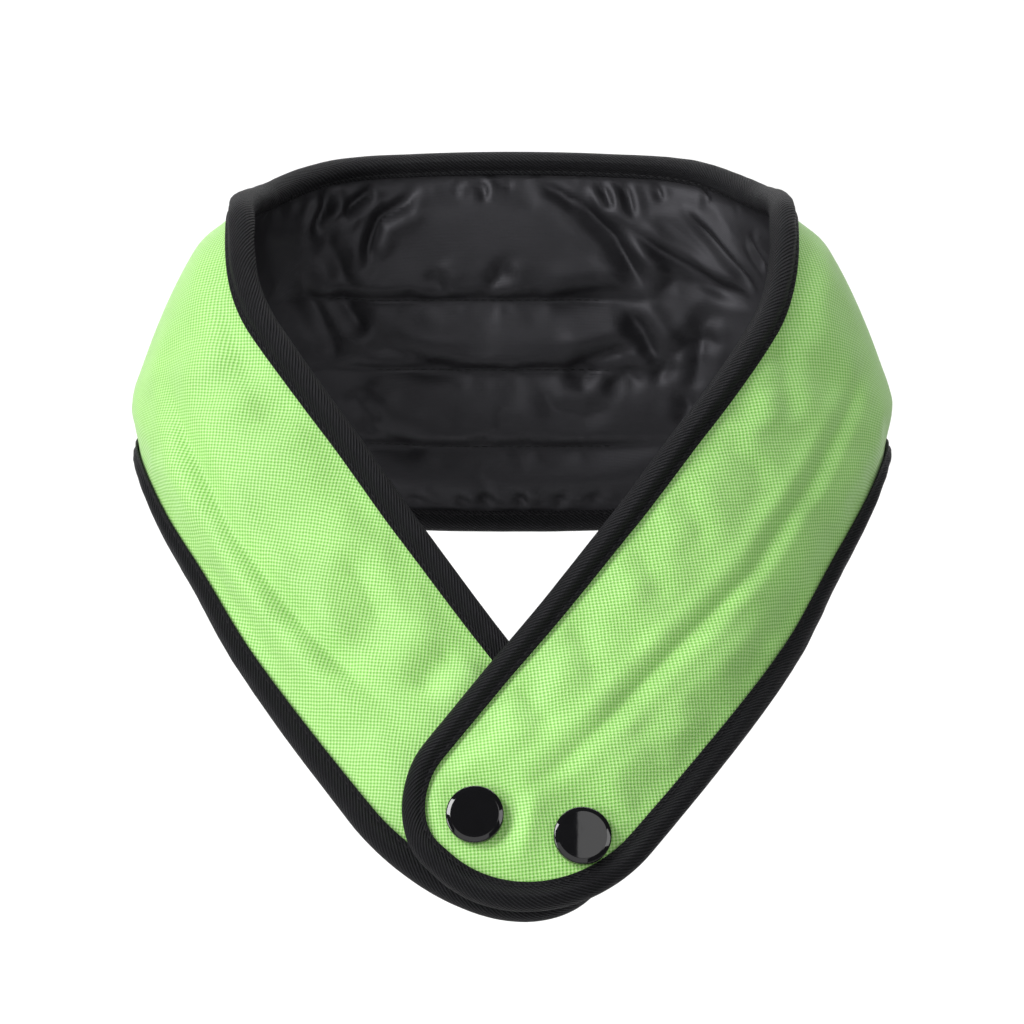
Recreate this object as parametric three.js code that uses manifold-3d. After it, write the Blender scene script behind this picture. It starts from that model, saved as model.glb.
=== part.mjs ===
// Cooling neck wrap: a padded band laid round the neck, closed in front with two press snaps.
// Millimetres, +Z up, +X is the wearer's left and the front faces -Y.
// The origin lies on the neck's axis, level with the lower edge where it rests on the shoulders.

import * as THREE from 'three';
import { mergeVertices } from 'three/addons/utils/BufferGeometryUtils.js';
import Module from 'manifold-3d';

const wasm = await Module();
wasm.setup();

// Shape of neck and shoulders that the band is laid on
const bandRise = 208;           // highest edge at the back to the lowest edge in front
const backAboveShoulder = 88;   // highest edge at the back above the shoulder line
const halfWidth = 141;          // neck axis to the side, at the lowest level
const frontDepth = 113;         // neck axis to the front, at the lowest level
const backDepth = 70;           // neck axis to the back, at the lowest level
const backSquareness = 1.8;     // added to the ellipse's exponent at the middle of the back

// Padding and its edges
const backPadding = 13;         // thickness at the back of the neck
const armPadding = 9;           // thickness along the flaps
const edgeThickness = 3.3;      // padding pressed flat inside the binding
const swellWidth = 15;          // from the binding in to the full thickness
const seamThickness = 2.2;      // lining left over a quilting seam
const seamWidth = 7;            // from the seam's stitches to the top of its slope
const seamSharpness = 1.5;      // 1 is a plain V, more is a rounder channel
const clearance = 0.3;          // between neighbouring pieces
const tapeClearance = 0.45;     // between the padding and the tape folded over it

// Binding tape folded over the edge
const bindingWidth = 6.8;       // edge to the tape's stitched side
const bindingWall = 1.1;        // folded tape
const bindingNose = 2;          // length of the rounded fold

// Flap ends, measured along the flap and across it
const upperCornerLength = 24;
const upperCornerWidth = 20;
const overCornerLength = 38;    // lower corner of the over flap
const underCornerLength = 55;   // lower corner of the under flap
const endFlat = 4;              // straight stretch between the two corners
const underReach = 3.5;           // under flap longer than the over flap

// The padding's tension draws the lower edge in under the band
const tuckDepth = 6;
const tuckWidth = 20;           // from the lower edge up to where the tuck ends

// Press snaps
const capDiameter = 14.6;
const capThickness = 2.7;
const capRim = 0.8;             // rounding of the cap's edge
const postDiameter = 4.4;
const discDiameter = 9.2;       // socket and stud discs
const backDiscThickness = 1.2;
const knobDiameter = 4;
const knobHeight = 1;
const grip = 4.2;               // padding pressed together at a snap
const dimpleWidth = 9;          // from the cap's edge out to the full padding

// Shares of the half length, from the middle of the back
const thinning = { begins: 0.15, ends: 0.5 };   // where the padding thins towards the flaps
const frontBegins = 0.6;                        // past here a snap's dimple can reach the padding

// Shares of a flap's end outline, from its lower side to its upper side
const cornerShares = { lowerEnds: 0.52, upperBegins: 0.58 };

// Mesh fineness
const sideSteps = 36;           // lines across the band between the two rounded ends
const endSteps = 4;             // lines between the last straight one and the rounded end
const endStretch = 15;          // from the lower corner back to the last straight line
const upperRows = [0.6, 0.22];  // rows above the last seam, as shares of what lies above it
const nudge = { angle: 0.2, drop: 0.002 };      // steps that the surface's direction is taken over
const capSegments = 24;
const discSegments = 12;
const seatSegments = 16;

// Sections of the neck's shape, a row for each fifth of bandRise from the top down.
// Shares of halfWidth, frontDepth and backDepth.
const levels = [
  { level: 0.0, width: 0.462, front: 0.45, back: 0.811 },
  { level: 0.2, width: 0.645, front: 0.478, back: 0.843 },
  { level: 0.4, width: 0.757, front: 0.56, back: 0.887 },
  { level: 0.6, width: 0.84, front: 0.671, back: 0.934 },
  { level: 0.8, width: 0.918, front: 0.827, back: 0.967 },
  { level: 1.0, width: 1.0, front: 1.0, back: 1.0 },
];

// Ribs of the band, a row for each tenth of its length from the middle of the back to a flap's end.
// Angles in degrees round the neck from the back, drops as shares of bandRise from the top,
// tucks as shares of tuckDepth.
const ribs = [
  { along: 0.0, upperAngle: 0, upperDrop: 0, lowerAngle: 0, lowerDrop: 0.557, tuck: 0 },
  { along: 0.1, upperAngle: 23, upperDrop: 0.003, lowerAngle: 18, lowerDrop: 0.552, tuck: 0 },
  { along: 0.2, upperAngle: 42, upperDrop: 0.013, lowerAngle: 38.5, lowerDrop: 0.524, tuck: 0.3 },
  { along: 0.3, upperAngle: 66, upperDrop: 0.05, lowerAngle: 62, lowerDrop: 0.448, tuck: 0.7 },
  { along: 0.4, upperAngle: 107, upperDrop: 0.083, lowerAngle: 87, lowerDrop: 0.423, tuck: 1 },
  { along: 0.5, upperAngle: 136, upperDrop: 0.222, lowerAngle: 107, lowerDrop: 0.45, tuck: 1 },
  { along: 0.6, upperAngle: 154, upperDrop: 0.345, lowerAngle: 127, lowerDrop: 0.542, tuck: 0.9 },
  { along: 0.7, upperAngle: 167, upperDrop: 0.47, lowerAngle: 142, lowerDrop: 0.658, tuck: 0.7 },
  { along: 0.8, upperAngle: 177.5, upperDrop: 0.589, lowerAngle: 155, lowerDrop: 0.77, tuck: 0.4 },
  { along: 0.9, upperAngle: 187.5, upperDrop: 0.71, lowerAngle: 166, lowerDrop: 0.88, tuck: 0.1 },
  { along: 1.0, upperAngle: 195.5, upperDrop: 0.826, lowerAngle: 176.5, lowerDrop: 1.0, tuck: 0 },
];

// Quilting seams of the lining, as shares of the band's width from its lower edge
const quiltSeams = [{ across: 0.227 }, { across: 0.431 }, { across: 0.616 }];
const seamReach = { full: 0.22, gone: 0.4 };   // shares of the half length where seams fade out

// Soft dents and folds: along and length are shares of the half length, across and width shares
// of the band's width, depth a share of the padding's half thickness there.
const shellDents = [
  { along: -0.5, across: 0.4, length: 0.1, width: 0.1, depth: 0.22 },
  { along: -0.68, across: 0.46, length: 0.1, width: 0.1, depth: 0.2 },
  { along: 0.52, across: 0.38, length: 0.11, width: 0.1, depth: 0.24 },
  { along: 0.72, across: 0.42, length: 0.12, width: 0.1, depth: 0.22 },
  { along: -0.36, across: 0.62, length: 0.05, width: 0.3, depth: 0.12 },
  { along: 0.36, across: 0.62, length: 0.05, width: 0.3, depth: 0.12 },
];
const liningFolds = [
  { along: -0.27, across: 0.55, length: 0.028, width: 0.24, depth: 0.4 },
  { along: -0.35, across: 0.62, length: 0.025, width: 0.2, depth: 0.3 },
  { along: 0.25, across: 0.6, length: 0.028, width: 0.22, depth: 0.4 },
  { along: 0.33, across: 0.66, length: 0.025, width: 0.2, depth: 0.34 },
];

// Snaps on the over flap: shares of the half length and of the band's width from the lower edge
const snapPlaces = [
  { name: 'snap_cap_left', stud: 'snap_stud_left', along: 0.947, across: 0.635 },
  { name: 'snap_cap_right', stud: 'snap_stud_right', along: 0.912, across: 0.25 },
];

const colours = {
  shell: 0x8fd860,
  lining: 0x1a1a1c,
  binding: 0x121213,
  snap: 0x08080a,
};

const smooth = (t) => THREE.MathUtils.smoothstep(t, 0, 1);
const mix = THREE.MathUtils.lerp;

// Value of a column at a share of a table whose rows stand at equal steps
function tableAt(rows, column, share) {
  const last = rows.length - 1;
  const index = Math.min(Math.max(Math.floor(share * last), 0), last - 1);
  const t = share * last - index;
  const b = rows[index][column];
  const c = rows[index + 1][column];
  const a = index > 0 ? rows[index - 1][column] : 2 * b - c;
  const d = index + 2 <= last ? rows[index + 2][column] : 2 * c - b;
  const cubic = 3 * (b - c) + d - a;
  const square = 2 * a - 5 * b + 4 * c - d;
  return b + 0.5 * t * (c - a + t * (square + t * cubic));
}

// The ribs of both halves, from the end of the under flap to the end of the over flap
const mirroredRib = (rib) => ({ ...rib, upperAngle: -rib.upperAngle, lowerAngle: -rib.lowerAngle });
const bandRibs = [...ribs.slice(1).reverse().map(mirroredRib), ...ribs];

// Point of the neck's shape at an angle round the neck and a share of bandRise from the top
function neckPoint(angle, drop) {
  const turn = THREE.MathUtils.degToRad(angle);
  const sine = Math.sin(turn);
  const cosine = Math.cos(turn);
  const power = 2 + backSquareness * Math.max(cosine, 0);
  const radius = (Math.abs(sine) ** power + Math.abs(cosine) ** power) ** (1 / power);
  const front = frontDepth * tableAt(levels, 'front', drop);
  const back = backDepth * tableAt(levels, 'back', drop);
  const x = halfWidth * tableAt(levels, 'width', drop) * sine / radius;
  const y = (back - front) / 2 + (back + front) / 2 * cosine / radius;
  return new THREE.Vector3(x, y, backAboveShoulder - bandRise * drop);
}

// Direction straight out of the neck's shape
function neckNormal(angle, drop) {
  const across = neckPoint(angle, drop - nudge.drop).sub(neckPoint(angle, drop + nudge.drop));
  const along = neckPoint(angle + nudge.angle, drop).sub(neckPoint(angle - nudge.angle, drop));
  return across.cross(along).normalize();
}

// Place on the neck's shape of a rib's point, across counted from the lower edge
function ribPlace(along, across) {
  const row = (along + 1) / 2;
  const upper = tableAt(bandRibs, 'upperAngle', row);
  const lower = tableAt(bandRibs, 'lowerAngle', row);
  const upperDrop = tableAt(bandRibs, 'upperDrop', row);
  const lowerDrop = tableAt(bandRibs, 'lowerDrop', row);
  return { angle: mix(lower, upper, across), drop: mix(lowerDrop, upperDrop, across) };
}

// In front the over flap lies outside the neck's shape and the under flap inside it
const flapLift = (armPadding + clearance) / 2;
const overlap = { begins: 122, whole: 160 };   // degrees from the back
function overlapShare(angle) {
  return smooth((Math.abs(angle) - overlap.begins) / (overlap.whole - overlap.begins));
}

function bandPlace(along, across, offset) {
  const { angle, drop } = ribPlace(along, across);
  const share = overlapShare(angle);
  const side = Math.sign(along);
  const lift = side * share * flapLift;
  return neckPoint(angle, drop).addScaledVector(neckNormal(angle, drop), offset + lift);
}

function bandWidth(along) {
  return bandPlace(along, 1, 0).distanceTo(bandPlace(along, 0, 0));
}

function middleLength() {
  const steps = 40;
  let length = 0;
  for (let step = 0; step < steps; step += 1) {
    length += bandPlace(step / steps, 0.5, 0).distanceTo(bandPlace((step + 1) / steps, 0.5, 0));
  }
  return length;
}
const halfLength = middleLength();
const flapEnd = (side) => halfLength + (side < 0 ? underReach : 0);
const lowerCorner = (side) => (side < 0 ? underCornerLength : overCornerLength);
const straightEnd = (side) => flapEnd(side) - lowerCorner(side) - endStretch;

// Pattern of the band: p runs along it from the middle of the back, q across it from the lower edge
function patternPoint(p, q, offset) {
  const along = p / halfLength;
  const tuck = tuckDepth * tableAt(bandRibs, 'tuck', (along + 1) / 2);
  const drawnIn = tuck * Math.max(1 - q / tuckWidth, 0) ** 2;
  return bandPlace(along, q / bandWidth(along), offset - drawnIn);
}

// Rounded outline of a flap's end, u from the end inwards; share runs from the lower to the upper side
function endOutline(side, share, inset) {
  const lowerCornerLength = lowerCorner(side);
  const width = bandWidth(side * (flapEnd(side) - lowerCornerLength / 2) / halfLength);
  const lowerCornerWidth = width - upperCornerWidth - endFlat;
  const { lowerEnds, upperBegins } = cornerShares;
  const lowerTurn = Math.min(share / lowerEnds, 1) * Math.PI / 2;
  const upperTurn = Math.max((share - upperBegins) / (1 - upperBegins), 0) * Math.PI / 2;
  const flat = THREE.MathUtils.clamp((share - lowerEnds) / (upperBegins - lowerEnds), 0, 1) * endFlat;
  const lower = {
    u: lowerCornerLength * (1 - Math.sin(lowerTurn)),
    q: lowerCornerWidth * (1 - Math.cos(lowerTurn)),
    du: lowerCornerWidth * Math.sin(lowerTurn),
    dq: lowerCornerLength * Math.cos(lowerTurn),
  };
  const upper = {
    u: upperCornerLength * (1 - Math.cos(upperTurn)),
    q: lowerCornerWidth + endFlat + upperCornerWidth * Math.sin(upperTurn),
    du: upperCornerWidth * Math.cos(upperTurn),
    dq: -upperCornerLength * Math.sin(upperTurn),
  };
  const arc = upperTurn > 0 ? upper : lower;
  const size = Math.hypot(arc.du, arc.dq);
  const q = upperTurn > 0 ? arc.q : arc.q + flat;
  return { u: arc.u + inset * arc.du / size, q: q + inset * arc.dq / size };
}

// Lines across the band from the under flap's end to the over flap's end
function bandLines() {
  const lines = [];
  for (let step = 0; step < endSteps; step += 1) lines.push({ side: -1, turn: 1 - step / endSteps });
  const from = -straightEnd(-1);
  const to = straightEnd(1);
  for (let step = 0; step <= sideSteps; step += 1) lines.push({ p: mix(from, to, step / sideSteps) });
  for (let step = 1; step <= endSteps; step += 1) lines.push({ side: 1, turn: step / endSteps });
  return lines;
}

// Pattern place on a line; the share runs between the two edges drawn in by the inset
function linePlace(line, share, inset) {
  if (!line.side) {
    const width = bandWidth(line.p / halfLength);
    return { p: line.p, q: mix(inset, width - inset, share) };
  }
  const end = flapEnd(line.side);
  const straight = linePlace({ p: line.side * straightEnd(line.side) }, share, inset);
  const round = endOutline(line.side, share, inset);
  const width = bandWidth(line.side * (end - round.u) / halfLength);
  const outlineWidth = bandWidth(line.side * (end - lowerCorner(line.side) / 2) / halfLength);
  const q = round.q * width / outlineWidth;
  return {
    p: mix(straight.p, line.side * (end - round.u), line.turn),
    q: mix(straight.q, q, line.turn),
  };
}

// How far a pattern place lies inside the band's edge
function edgeDistance(p, q) {
  const width = bandWidth(p / halfLength);
  const side = p < 0 ? -1 : 1;
  const u = flapEnd(side) - Math.abs(p);
  let distance = Math.min(q, width - q);
  if (Math.abs(p) < straightEnd(side)) return distance;
  const steps = 24;
  for (let step = 0; step <= steps; step += 1) {
    const edge = endOutline(side, step / steps, 0);
    distance = Math.min(distance, Math.hypot(edge.u - u, edge.q - q));
  }
  return distance;
}

// Axis of each snap: both flaps lie on the same shape, so one line passes through both
function snapAxis(place) {
  const { angle, drop } = ribPlace(place.along, place.across);
  return { point: neckPoint(angle, drop), normal: neckNormal(angle, drop) };
}
const snapAxes = snapPlaces.map(snapAxis);

function dimple(point, along) {
  if (Math.abs(along) < frontBegins) return 0;
  let share = 0;
  for (const axis of snapAxes) {
    const away = point.clone().sub(axis.point);
    const radius = away.addScaledVector(axis.normal, -away.dot(axis.normal)).length();
    share = Math.max(share, 1 - smooth((radius - capDiameter / 2) / dimpleWidth));
  }
  return share;
}

function dentDepth(dents, along, across) {
  let depth = 0;
  for (const dent of dents) {
    const x = (along - dent.along) / dent.length;
    const y = (across - dent.across) / dent.width;
    depth += dent.depth * Math.exp(-x * x - y * y);
  }
  return depth;
}

// Nearness to a quilting seam, 1 at its stitches and 0 a seamWidth away
function seamShare(along, across, width) {
  const fade = 1 - smooth((Math.abs(along) - seamReach.full) / (seamReach.gone - seamReach.full));
  let share = 0;
  for (const seam of quiltSeams) {
    const away = Math.min(Math.abs(across - seam.across) * width / seamWidth, 1);
    share = Math.max(share, (1 - away) ** seamSharpness);
  }
  return share * fade;
}

// Half thickness of the padding at a pattern place, before the seams
function paddingHalf(p, q, dents) {
  const along = p / halfLength;
  const width = bandWidth(along);
  const toFlaps = smooth((Math.abs(along) - thinning.begins) / (thinning.ends - thinning.begins));
  const full = mix(backPadding, armPadding, toFlaps) / 2;
  const swell = Math.sin(smooth((edgeDistance(p, q) - fieldInset) / swellWidth) * Math.PI / 2);
  const sunk = full * (1 - dentDepth(dents, along, q / width));
  const half = mix(edgeThickness / 2, sunk, swell);
  const pressed = Math.min(half, grip / 2);
  return mix(half, pressed, dimple(patternPoint(p, q, 0), along));
}

const padInset = bindingWall + 2 * tapeClearance; // padding's edge inside the binding's fold
const fieldInset = bindingWidth + clearance;      // padding that shows, inside the binding

function shellFace(p, q) {
  return paddingHalf(p, q, shellDents);
}

function liningFace(p, q) {
  const along = p / halfLength;
  const width = bandWidth(along);
  const half = paddingHalf(p, q, liningFolds);
  const seam = Math.min(half, seamThickness);
  return -mix(half, seam, seamShare(along, q / width, width));
}

const innerGap = () => clearance / 2;
const outerGap = () => -clearance / 2;

// Shares across the field, with three at each quilting seam
function fieldShares() {
  const backWidth = bandWidth(0);
  const toField = (across) => (across * backWidth - fieldInset) / (backWidth - 2 * fieldInset);
  const slope = seamWidth / backWidth;
  const shares = quiltSeams.flatMap(({ across }) => [across - slope, across, across + slope]);
  const places = shares.map(toField);
  const low = places[0];
  const high = 1 - places[places.length - 1];
  return [0, low / 2, ...places, ...upperRows.map((row) => 1 - row * high), 1];
}
const shares = fieldShares();

// Indices round the field's edge: lower side, over flap's end, upper side, under flap's end
function fieldLoop(lineCount, shareCount) {
  const loop = [];
  for (let line = 0; line < lineCount; line += 1) loop.push([line, 0]);
  for (let row = 1; row < shareCount; row += 1) loop.push([lineCount - 1, row]);
  for (let line = lineCount - 2; line >= 0; line -= 1) loop.push([line, shareCount - 1]);
  for (let row = shareCount - 2; row > 0; row -= 1) loop.push([0, row]);
  return loop;
}

function closedGeometry(points, faces) {
  const geometry = new THREE.BufferGeometry();
  const numbers = points.flatMap((point) => [point.x, point.y, point.z]);
  geometry.setAttribute('position', new THREE.Float32BufferAttribute(numbers, 3));
  geometry.setIndex(faces.flat());
  return geometry;
}

// A layer of the pad between two faces, each given as an offset from the band's middle
function padLayer(outward, inward) {
  const lines = bandLines();
  const loop = fieldLoop(lines.length, shares.length);
  const points = [];
  const faces = [];
  const quad = (a, b, c, d) => faces.push([a, b, c], [a, c, d]);
  const addFace = (offset) => {
    const start = points.length;
    for (const line of lines) {
      for (const share of shares) {
        const { p, q } = linePlace(line, share, fieldInset);
        points.push(patternPoint(p, q, offset(p, q)));
      }
    }
    const edge = points.length;
    for (const [line, row] of loop) {
      const { p, q } = linePlace(lines[line], shares[row], padInset);
      points.push(patternPoint(p, q, offset(p, q)));
    }
    return { start, edge };
  };
  const outer = addFace(outward);
  const inner = addFace(inward);
  const at = (line, row) => line * shares.length + row;
  for (let line = 0; line + 1 < lines.length; line += 1) {
    for (let row = 0; row + 1 < shares.length; row += 1) {
      const [a, b, c, d] = [at(line, row), at(line, row + 1), at(line + 1, row + 1), at(line + 1, row)];
      quad(...[a, b, c, d].map((corner) => outer.start + corner));
      quad(...[a, d, c, b].map((corner) => inner.start + corner));
    }
  }
  loop.forEach(([line, row], step) => {
    const next = (step + 1) % loop.length;
    const here = at(line, row);
    const there = at(...loop[next]);
    quad(outer.edge + next, outer.edge + step, outer.start + here, outer.start + there);
    quad(inner.start + here, inner.edge + step, inner.edge + next, inner.start + there);
    quad(outer.edge + step, outer.edge + next, inner.edge + next, inner.edge + step);
  });
  return closedGeometry(points, faces);
}

// Section of the folded tape: inset from the edge and offset from the band's middle
function tapeSection() {
  const inner = edgeThickness / 2 + tapeClearance;
  const outer = inner + bindingWall;
  const nose = [90, 50, 18, -18, -50, -90].map((degrees) => {
    const turn = THREE.MathUtils.degToRad(degrees);
    return { inset: bindingNose * (1 - Math.cos(turn)), offset: outer * Math.sin(turn) };
  });
  return [
    { inset: bindingWidth, offset: inner },
    { inset: bindingWidth, offset: outer },
    ...nose,
    { inset: bindingWidth, offset: -outer },
    { inset: bindingWidth, offset: -inner },
    { inset: bindingWall, offset: -inner },
    { inset: bindingWall, offset: inner },
  ];
}

function bindingGeometry() {
  const lines = bandLines();
  const loop = fieldLoop(lines.length, shares.length);
  const section = tapeSection();
  const points = loop.flatMap(([line, row]) => section.map(({ inset, offset }) => {
    const { p, q } = linePlace(lines[line], shares[row], inset);
    return patternPoint(p, q, offset);
  }));
  const faces = [];
  loop.forEach((_, step) => {
    const here = step * section.length;
    const there = ((step + 1) % loop.length) * section.length;
    section.forEach((__, side) => {
      const next = (side + 1) % section.length;
      faces.push([here + side, there + side, there + next], [here + side, there + next, here + next]);
    });
  });
  return closedGeometry(points, faces);
}

// Snap pieces turn about their axis; heights count from the middle of the flap that carries them
const discSeat = grip / 2 + clearance;
const discThickness = flapLift - discSeat - clearance / 2;
const recessDepth = knobHeight + clearance;

function turned(profile, segments, axis, lift) {
  const points = profile.map(([radius, height]) => new THREE.Vector2(radius, height));
  const geometry = new THREE.LatheGeometry(points, segments);
  geometry.deleteAttribute('normal');
  geometry.deleteAttribute('uv');
  const up = new THREE.Vector3(0, 1, 0);
  const turn = new THREE.Quaternion().setFromUnitVectors(up, axis.normal);
  geometry.applyQuaternion(turn);
  const seat = axis.point.clone().addScaledVector(axis.normal, lift);
  geometry.translate(seat.x, seat.y, seat.z);
  return mergeVertices(geometry, 1e-4);
}

function capGeometry(axis) {
  const bottom = -discSeat - discThickness;
  const capBase = discSeat;
  const capTop = capBase + capThickness;
  const capRadius = capDiameter / 2;
  const profile = [
    [0, bottom + recessDepth],
    [knobDiameter / 2 + clearance, bottom + recessDepth],
    [knobDiameter / 2 + clearance, bottom],
    [discDiameter / 2, bottom],
    [discDiameter / 2, -discSeat],
    [postDiameter / 2, -discSeat],
    [postDiameter / 2, capBase],
    [capRadius - capRim / 2, capBase],
    [capRadius, capBase + capRim / 2],
    [capRadius, capTop - capRim],
    [capRadius - capRim * 0.3, capTop - capRim * 0.3],
    [capRadius - capRim, capTop],
    [0, capTop],
  ];
  return turned(profile, capSegments, axis, flapLift);
}

function studGeometry(axis) {
  const top = discSeat + discThickness;
  const profile = [
    [0, -discSeat - backDiscThickness],
    [discDiameter / 2, -discSeat - backDiscThickness],
    [discDiameter / 2, -discSeat],
    [postDiameter / 2, -discSeat],
    [postDiameter / 2, discSeat],
    [discDiameter / 2, discSeat],
    [discDiameter / 2, top],
    [knobDiameter / 2, top],
    [knobDiameter / 2, top + knobHeight],
    [0, top + knobHeight],
  ];
  return turned(profile, discSegments, axis, -flapLift);
}

// Tool for one flap: a hole for the post, and a flat seat on either face, clear of the other flap
function seatTool(axis, side) {
  const seat = grip / 2;
  const hole = postDiameter / 2 + clearance;
  const facing = discDiameter / 2 + clearance;
  const away = (side > 0 ? capDiameter : discDiameter) / 2 + clearance;
  const height = armPadding;
  const profile = [
    [0, -flapLift],
    [facing, -flapLift],
    [facing, -seat],
    [hole, -seat],
    [hole, seat],
    [away, seat],
    [away, height],
    [0, height],
  ];
  const outwards = side > 0 ? profile : profile.map(([radius, z]) => [radius, -z]).reverse();
  return turned(outwards, seatSegments, axis, side * flapLift);
}

function toSolid(geometry) {
  const vertProperties = new Float32Array(geometry.getAttribute('position').array);
  const triVerts = new Uint32Array(geometry.getIndex().array);
  return new wasm.Manifold(new wasm.Mesh({ numProp: 3, vertProperties, triVerts }));
}

function fromSolid(solid) {
  const { vertProperties, triVerts } = solid.getMesh();
  const geometry = new THREE.BufferGeometry();
  geometry.setAttribute('position', new THREE.BufferAttribute(new Float32Array(vertProperties), 3));
  geometry.setIndex(new THREE.BufferAttribute(new Uint32Array(triVerts), 1));
  return geometry;
}

function withSnapSeats(geometry) {
  let solid = toSolid(geometry);
  for (const axis of snapAxes) {
    for (const side of [1, -1]) solid = solid.subtract(toSolid(seatTool(axis, side)));
  }
  return fromSolid(solid);
}

function namedMesh(name, geometry, colour, roughness) {
  geometry.computeVertexNormals();
  const material = new THREE.MeshStandardMaterial({ color: colour, roughness, metalness: 0 });
  const mesh = new THREE.Mesh(geometry, material);
  mesh.name = name;
  return mesh;
}

const neckWrap = new THREE.Group();
neckWrap.name = 'cooling_neck_wrap';
const shell = withSnapSeats(padLayer(shellFace, innerGap));
const lining = withSnapSeats(padLayer(outerGap, liningFace));
neckWrap.add(namedMesh('outer_shell', shell, colours.shell, 0.9));
neckWrap.add(namedMesh('inner_lining', lining, colours.lining, 0.45));
neckWrap.add(namedMesh('edge_binding', bindingGeometry(), colours.binding, 0.8));
snapPlaces.forEach((place, index) => {
  neckWrap.add(namedMesh(place.name, capGeometry(snapAxes[index]), colours.snap, 0.12));
  neckWrap.add(namedMesh(place.stud, studGeometry(snapAxes[index]), colours.snap, 0.3));
});

export default neckWrap;
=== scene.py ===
import math
import bpy
import numpy as np
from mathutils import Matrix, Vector


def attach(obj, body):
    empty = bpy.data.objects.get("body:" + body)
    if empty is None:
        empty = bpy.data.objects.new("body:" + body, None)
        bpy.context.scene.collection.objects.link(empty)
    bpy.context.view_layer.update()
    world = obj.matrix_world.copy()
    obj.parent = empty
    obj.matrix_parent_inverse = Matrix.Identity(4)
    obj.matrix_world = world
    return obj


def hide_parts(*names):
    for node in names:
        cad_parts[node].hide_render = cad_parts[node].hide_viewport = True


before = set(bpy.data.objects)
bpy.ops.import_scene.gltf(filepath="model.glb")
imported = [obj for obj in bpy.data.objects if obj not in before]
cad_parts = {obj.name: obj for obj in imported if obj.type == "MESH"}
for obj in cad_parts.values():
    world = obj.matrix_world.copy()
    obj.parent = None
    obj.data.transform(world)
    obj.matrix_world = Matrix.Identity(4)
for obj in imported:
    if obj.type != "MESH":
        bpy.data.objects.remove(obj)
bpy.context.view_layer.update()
scene = bpy.context.scene

# Shape that the band lies on: the part's own sizes and tables, in metres
neck = {
    "bandRise": 0.208,
    "backAboveShoulder": 0.088,
    "halfWidth": 0.141,
    "frontDepth": 0.113,
    "backDepth": 0.070,
    "backSquareness": 1.8,
    "flapLift": 0.00465,
    "overlapBegins": 122,        # degrees from the back
    "overlapWhole": 160,
    "levels": [                  # width, front, back for each fifth of the rise, from the top
        (0.462, 0.450, 0.811),
        (0.645, 0.478, 0.843),
        (0.757, 0.560, 0.887),
        (0.840, 0.671, 0.934),
        (0.918, 0.827, 0.967),
        (1.000, 1.000, 1.000),
    ],
    "ribs": [                    # upper angle and drop, lower angle and drop, tuck, for each tenth
        (0, 0, 0, 0.557, 0),
        (23, 0.003, 18, 0.552, 0),
        (42, 0.013, 38.5, 0.524, 0.3),
        (66, 0.05, 62, 0.448, 0.7),
        (107, 0.083, 87, 0.423, 1),
        (136, 0.222, 107, 0.45, 1),
        (154, 0.345, 127, 0.542, 0.9),
        (167, 0.47, 142, 0.658, 0.7),
        (177.5, 0.589, 155, 0.77, 0.4),
        (187.5, 0.71, 166, 0.88, 0.1),
        (195.5, 0.826, 176.5, 1.0, 0),
    ],
}
band = {
    "backPadding": 0.013,
    "armPadding": 0.009,
    "edgeThickness": 0.0033,
    "swellWidth": 0.015,
    "thinningBegins": 0.15,
    "thinningEnds": 0.5,
    "clearance": 0.0003,
    "tapeClearance": 0.00045,
    "bindingWidth": 0.0068,
    "bindingWall": 0.0011,
    "upperCornerLength": 0.024,
    "upperCornerWidth": 0.020,
    "overCornerLength": 0.038,
    "underCornerLength": 0.055,
    "endFlat": 0.004,
    "underReach": 0.0035,
    "endStretch": 0.015,
    "lowerEnds": 0.52,
    "upperBegins": 0.58,
    "tuckDepth": 0.006,
    "tuckWidth": 0.020,
    "grip": 0.0042,
    "dimpleWidth": 0.009,
    "capRadius": 0.0073,
    "snapPlaces": [(0.947, 0.635), (0.912, 0.25)],
    "frontBegins": 0.6,          # past here a snap's dimple can reach the padding
    "backReach": 0.105,          # half the stretch at the back where a grid's lines may lie closer
}
nudge = {"angle": 0.2, "drop": 0.002}    # steps that the surface's direction is taken over
padInset = band["bindingWall"] + 2 * band["tapeClearance"]
fieldInset = band["bindingWidth"] + band["clearance"]
levels = np.array(neck["levels"], float)
halfRibs = np.array(neck["ribs"], float)
ribs = np.concatenate([halfRibs[:0:-1] * (-1, 1, -1, 1, 1), halfRibs])


def smooth(t):
    t = np.clip(t, 0, 1)
    return t * t * (3 - 2 * t)


def mix(a, b, t):
    return a + (b - a) * t


def tableAt(rows, share):
    share = np.asarray(share, float)
    last = len(rows) - 1
    index = np.clip(np.floor(share * last).astype(int), 0, last - 1)
    t = (share * last - index)[..., None]
    b, c = rows[index], rows[index + 1]
    a = np.where((index > 0)[..., None], rows[np.maximum(index - 1, 0)], 2 * b - c)
    d = np.where((index + 2 <= last)[..., None], rows[np.minimum(index + 2, last)], 2 * c - b)
    return b + 0.5 * t * (c - a + t * (2 * a - 5 * b + 4 * c - d + t * (3 * (b - c) + d - a)))


def neckPoint(angle, drop):
    turn = np.radians(angle)
    sine, cosine = np.sin(turn), np.cos(turn)
    power = 2 + neck["backSquareness"] * np.maximum(cosine, 0)
    radius = (np.abs(sine) ** power + np.abs(cosine) ** power) ** (1 / power)
    width, front, back = np.moveaxis(tableAt(levels, drop), -1, 0)
    front, back = neck["frontDepth"] * front, neck["backDepth"] * back
    x = neck["halfWidth"] * width * sine / radius
    y = (back - front) / 2 + (back + front) / 2 * cosine / radius
    return np.stack([x, y, neck["backAboveShoulder"] - neck["bandRise"] * drop], -1)


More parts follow.
